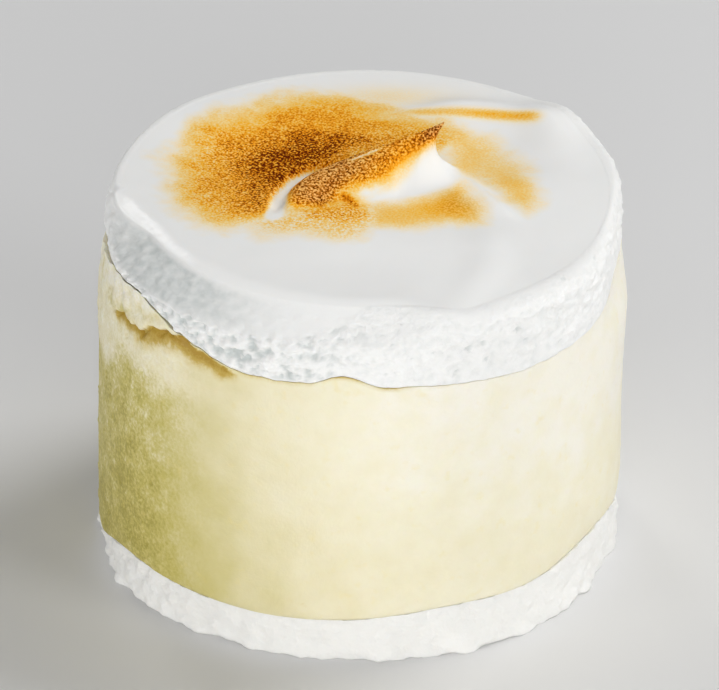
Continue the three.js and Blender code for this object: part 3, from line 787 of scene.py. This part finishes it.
def setMousse():  # set lemon mousse: pale, dense and satin, with fine pores and specks of zest
    look = dict(poreSize=0.5, cloudSize=5.0, zestSize=1.8, zest="eedb86", bump=0.3, lightDepth=0.8)
    depths = ((0.0, "f9f4e6"), (0.1, "f5efd6"), (0.3, "ece3be"), (0.52, "d8cd90"), (0.75, "c7ba65"),
              (1.0, "ac9f4a"))
    juices = ((0.0, "eadcae"), (0.35, "d8c37a"), (0.7, "c2a44a"), (1.0, "b08d2a"))
    material, tree = startMaterial("setLemonMousse")
    place = inMillimetres(tree)
    shade, weep, coarse = [addNode(tree, "Attribute", {"attribute_name": mask}, {}).outputs["Fac"]
                           for mask in ("shade", "weep", "coarse")]
    cloud = addNode(tree, "TexNoise", {"Scale": 1 / look["cloudSize"], "Detail": 4.0}, {"Vector": place})
    cloudy = addNode(tree, "MapRange", {"From Min": 0.3, "From Max": 0.7, "To Min": -0.06, "To Max": 0.06},
                     {"Value": cloud.outputs["Fac"]})
    pores = addNode(tree, "TexNoise", {"Scale": 1 / look["poreSize"], "Detail": 3.0, "Roughness": 0.6},
                    {"Vector": place})
    grainy = addNode(tree, "MapRange", {"From Min": 0.35, "From Max": 0.65, "To Min": -0.2, "To Max": 0.2},
                     {"Value": pores.outputs["Fac"]})
    # shade holds painted shade as well as the deeper yellow of the left side
    deep = addNode(tree, "Math", {"operation": "ADD"}, {0: shade, 1: cloudy.outputs[0]})
    grained = addNode(tree, "Math", {"operation": "MULTIPLY_ADD"},
                      {0: grainy.outputs[0], 1: coarse, 2: deep.outputs[0]})
    body = addNode(tree, "ValToRGB", {"stops": depths}, {"Fac": grained.outputs[0]})
    zest = addNode(tree, "TexNoise", {"Scale": 1 / look["zestSize"], "Detail": 2.0}, {"Vector": place})
    fleck = addNode(tree, "MapRange", {"From Min": 0.62, "From Max": 0.76, "To Max": 0.2},
                    {"Value": zest.outputs["Fac"]})
    flecked = addNode(tree, "Mix", {"data_type": "RGBA", colourB: linear(look["zest"])},
                      {0: fleck.outputs[0], colourA: body.outputs["Color"]})
    stained = addNode(tree, "MapRange", {"From Min": 0.35, "From Max": 0.6, "To Min": 0.85, "To Max": 1.1},
                      {"Value": pores.outputs["Fac"]})
    stain = addNode(tree, "Math", {"operation": "MULTIPLY", "use_clamp": True},
                    {0: weep, 1: stained.outputs[0]})
    juice = addNode(tree, "ValToRGB", {"stops": juices}, {"Fac": stain.outputs[0]})
    cover = addNode(tree, "MapRange", {"From Min": 0.05, "From Max": 0.6}, {"Value": stain.outputs[0]})
    colour = addNode(tree, "Mix", {"data_type": "RGBA"},
                     {0: cover.outputs[0], colourA: flecked.outputs[mixed],
                      colourB: juice.outputs["Color"]})
    bump = addNode(tree, "Bump", {"Strength": 0.35, "Distance": look["bump"] * mm},
                   {"Height": pores.outputs["Fac"]})
    shader = addNode(tree, "BsdfPrincipled", {
        "Roughness": 0.5, "IOR": 1.45, "Subsurface Weight": 0.25, "Subsurface Radius": (1.0, 0.8, 0.4),
        "Subsurface Scale": look["lightDepth"] * mm},
        {"Base Color": colour.outputs[mixed], "Normal": bump.outputs["Normal"]})
    addNode(tree, "OutputMaterial", {}, {"Surface": shader.outputs["BSDF"]})
    return material


def spongeCrumb():  # white sponge, cut with a ring: matte, open crumb
    look = dict(white="f6f5f1", crumbSize=0.6, bump=0.4, lightDepth=1.0)
    material, tree = startMaterial("whiteSpongeCrumb")
    place = inMillimetres(tree)
    crumb = addNode(tree, "TexNoise", {"Scale": 1 / look["crumbSize"], "Detail": 5.0, "Roughness": 0.65},
                    {"Vector": place})
    bump = addNode(tree, "Bump", {"Strength": 0.6, "Distance": look["bump"] * mm},
                   {"Height": crumb.outputs["Fac"]})
    shader = addNode(tree, "BsdfPrincipled", {
        "Base Color": linear(look["white"]), "Roughness": 0.85, "IOR": 1.4, "Subsurface Weight": 0.2,
        "Subsurface Radius": (1.0, 0.9, 0.8), "Subsurface Scale": look["lightDepth"] * mm},
        {"Normal": bump.outputs["Normal"]})
    addNode(tree, "OutputMaterial", {}, {"Surface": shader.outputs["BSDF"]})
    return material


layers = (
    (makeSponge, spongeCrumb, "sponge_base", "sponge"),
    (makeMousse, setMousse, "lemon_mousse", "mousse"),
    (makeMeringue, whiskedMeringue, "meringue_cap", "meringue"),
)
for make, finish, node, slot in layers:
    piece = make()
    piece.data.materials.append(finish())
    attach(piece, "root")
    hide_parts(node)
    print("made", piece.name, len(piece.data.polygons), "faces")


# studio: pale floor, soft light from the right and front, camera as in the photograph

studio = dict(
    photo=(719, 690), pixelsPerMm=7.5, distance=850.0, elevation=30.0, sensor=36.0,
    aim=(-0.2, 1.2, 27.1),
    floor=dict(reach=2.0, grey="e2e2e2"),           # metres, as for the lamps
    ambient=0.15, ambientColour="ffffff",
    lampAim=(0, 0, 0.03),
    lamps=dict(
        key=dict(place=(0.70, -0.50, 0.40), size=0.35, watts=2.1),
        fill=dict(place=(0.10, -1.20, 0.28), size=1.0, watts=7.6),
        side=dict(place=(-1.0, -0.55, 0.10), size=0.50, watts=5.3),
        top=dict(place=(0.55, 0.30, 0.85), size=0.50, watts=4.9),
        rim=dict(place=(-0.37, 0.86, 0.74), size=0.30, watts=1.8),
    ),
)


def makeFloor(reach, grey):
    bm = bmesh.new()
    bmesh.ops.create_grid(bm, x_segments=1, y_segments=1, size=reach)
    floor = addPiece("floor", bm)
    material, tree = startMaterial("paleFloor")
    shader = addNode(tree, "BsdfPrincipled", {"Base Color": linear(grey), "Roughness": 0.8}, {})
    addNode(tree, "OutputMaterial", {}, {"Surface": shader.outputs["BSDF"]})
    floor.data.materials.append(material)


def makeLamp(name, place, size, watts):
    lamp = bpy.data.lights.new(name, "AREA")
    lamp.shape = "DISK"
    lamp.size = size
    lamp.energy = watts
    holder = bpy.data.objects.new(name, lamp)
    holder.location = place
    towards = Vector(studio["lampAim"]) - Vector(place)
    holder.rotation_euler = towards.to_track_quat("-Z", "Y").to_euler()
    bpy.context.scene.collection.objects.link(holder)


def makeCamera():
    lens = bpy.data.cameras.new("photoCamera")
    lens.sensor_width = studio["sensor"]
    lens.lens = studio["sensor"] * studio["pixelsPerMm"] * studio["distance"] / studio["photo"][0]
    camera = bpy.data.objects.new("photoCamera", lens)
    tilt = math.radians(studio["elevation"])
    back = Vector((0, -math.cos(tilt), math.sin(tilt)))
    camera.location = (Vector(studio["aim"]) + back * studio["distance"]) * mm
    camera.rotation_euler = (math.pi / 2 - tilt, 0, 0)
    bpy.context.scene.collection.objects.link(camera)
    bpy.context.scene.camera = camera


makeFloor(**studio["floor"])
for name, lamp in studio["lamps"].items():
    makeLamp(name, **lamp)
world = bpy.data.worlds.new("studioLight")
world.use_nodes = True
world.node_tree.nodes["Background"].inputs["Color"].default_value = linear(studio["ambientColour"])
world.node_tree.nodes["Background"].inputs["Strength"].default_value = studio["ambient"]
bpy.context.scene.world = world
bpy.context.scene.view_settings.view_transform = "Standard"
makeCamera()
print("studio ready")
